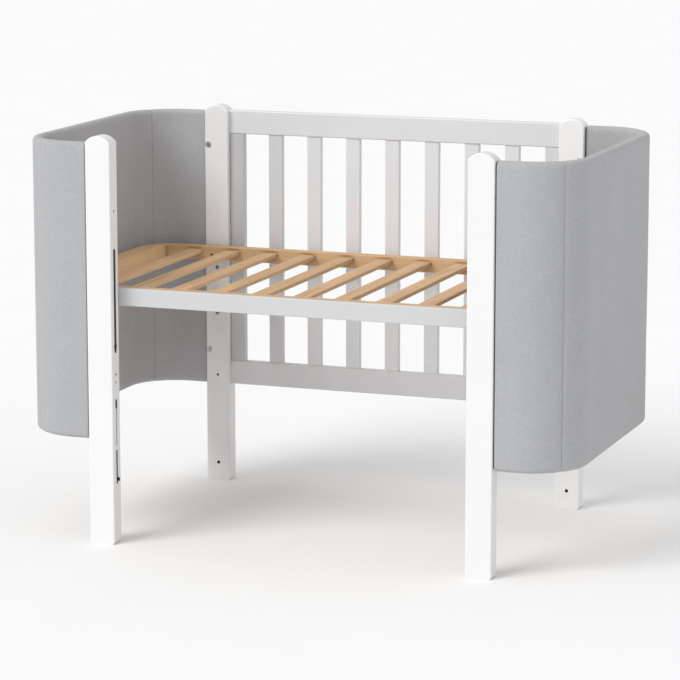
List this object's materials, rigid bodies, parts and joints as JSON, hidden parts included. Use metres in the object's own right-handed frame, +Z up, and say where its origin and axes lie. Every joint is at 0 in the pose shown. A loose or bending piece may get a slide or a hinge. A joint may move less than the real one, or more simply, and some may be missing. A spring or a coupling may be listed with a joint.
{
  "type": "toddler bed",
  "caption": "Toddler bed with arched white posts, curved padded grey ends, a barred back, an open front and a slatted wooden base of adjustable height.",
  "frame": {"origin": "on the floor under the centre of the bed", "axes": "+X along the length, towards the right-hand end as seen from the open front; +Y from the open front to the barred back; +Z up"},
  "size_m": [1.257, 0.698, 0.892],
  "materials": {
    "white_lacquer": "satin white lacquer",
    "grey_felt": "fine matt felt",
    "oiled_beech": "bare sanded beech",
    "plywood": "raw plywood",
    "foam": "open foam",
    "steel": "zinc-plated"
  },
  "bodies": {
    "frame": {"post_front_left": "white_lacquer", "post_front_right": "white_lacquer", "post_rear_left": "white_lacquer", "post_rear_right": "white_lacquer", "left_end_core": "plywood", "left_end_foam_outer": "foam", "left_end_foam_inner": "foam", "left_end_cover": "grey_felt", "left_end_batten_front": "plywood", "left_end_batten_rear": "plywood", "right_end_core": "plywood", "right_end_foam_outer": "foam", "right_end_foam_inner": "foam", "right_end_cover": "grey_felt", "right_end_batten_front": "plywood", "right_end_batten_rear": "plywood", "end_panel_dowels": "steel", "end_panel_cam_locks": "steel", "back_top_rail": "white_lacquer", "back_bottom_rail": "white_lacquer", "back_stile_left": "white_lacquer", "back_stile_right": "white_lacquer", "back_slat_1": "white_lacquer", "back_slat_2": "white_lacquer", "back_slat_3": "white_lacquer", "back_slat_4": "white_lacquer", "back_slat_5": "white_lacquer", "back_slat_6": "white_lacquer", "back_slat_7": "white_lacquer", "back_rail_bolts": "steel", "back_barrel_nuts": "steel", "level_sleeves": "steel"},
    "base": {"base_end_rail_left": "oiled_beech", "base_end_rail_right": "oiled_beech", "base_rear_rail": "oiled_beech", "base_front_rail": "oiled_beech", "base_front_board": "white_lacquer", "base_slat_01": "oiled_beech", "base_slat_02": "oiled_beech", "base_slat_03": "oiled_beech", "base_slat_04": "oiled_beech", "base_slat_05": "oiled_beech", "base_slat_06": "oiled_beech", "base_slat_07": "oiled_beech", "base_slat_08": "oiled_beech", "base_slat_09": "oiled_beech", "base_slat_10": "oiled_beech", "base_slat_11": "oiled_beech", "base_corner_bolts": "steel", "base_barrel_nuts": "steel", "base_board_screws": "steel", "base_screw_inserts": "steel"},
    "lock_front_left": {"lock_screw_front_left": "steel"},
    "lock_front_right": {"lock_screw_front_right": "steel"},
    "lock_rear_left": {"lock_screw_rear_left": "steel"},
    "lock_rear_right": {"lock_screw_rear_right": "steel"}
  },
  "joints": [
    {"name": "base_height", "type": "slide", "parent": "frame", "child": "base", "axis": [0, 0, 1], "range_m": [-0.291, 0]},
    {"name": "lock_front_left_advance", "type": "slide", "parent": "base", "child": "lock_front_left", "axis": [0, -1, 0], "range_m": [0, 0.016]},
    {"name": "lock_front_right_advance", "type": "slide", "parent": "base", "child": "lock_front_right", "axis": [0, -1, 0], "range_m": [0, 0.016]},
    {"name": "lock_rear_left_advance", "type": "slide", "parent": "base", "child": "lock_rear_left", "axis": [0, 1, 0], "range_m": [0, 0.016]},
    {"name": "lock_rear_right_advance", "type": "slide", "parent": "base", "child": "lock_rear_right", "axis": [0, 1, 0], "range_m": [0, 0.016]}
  ]
}
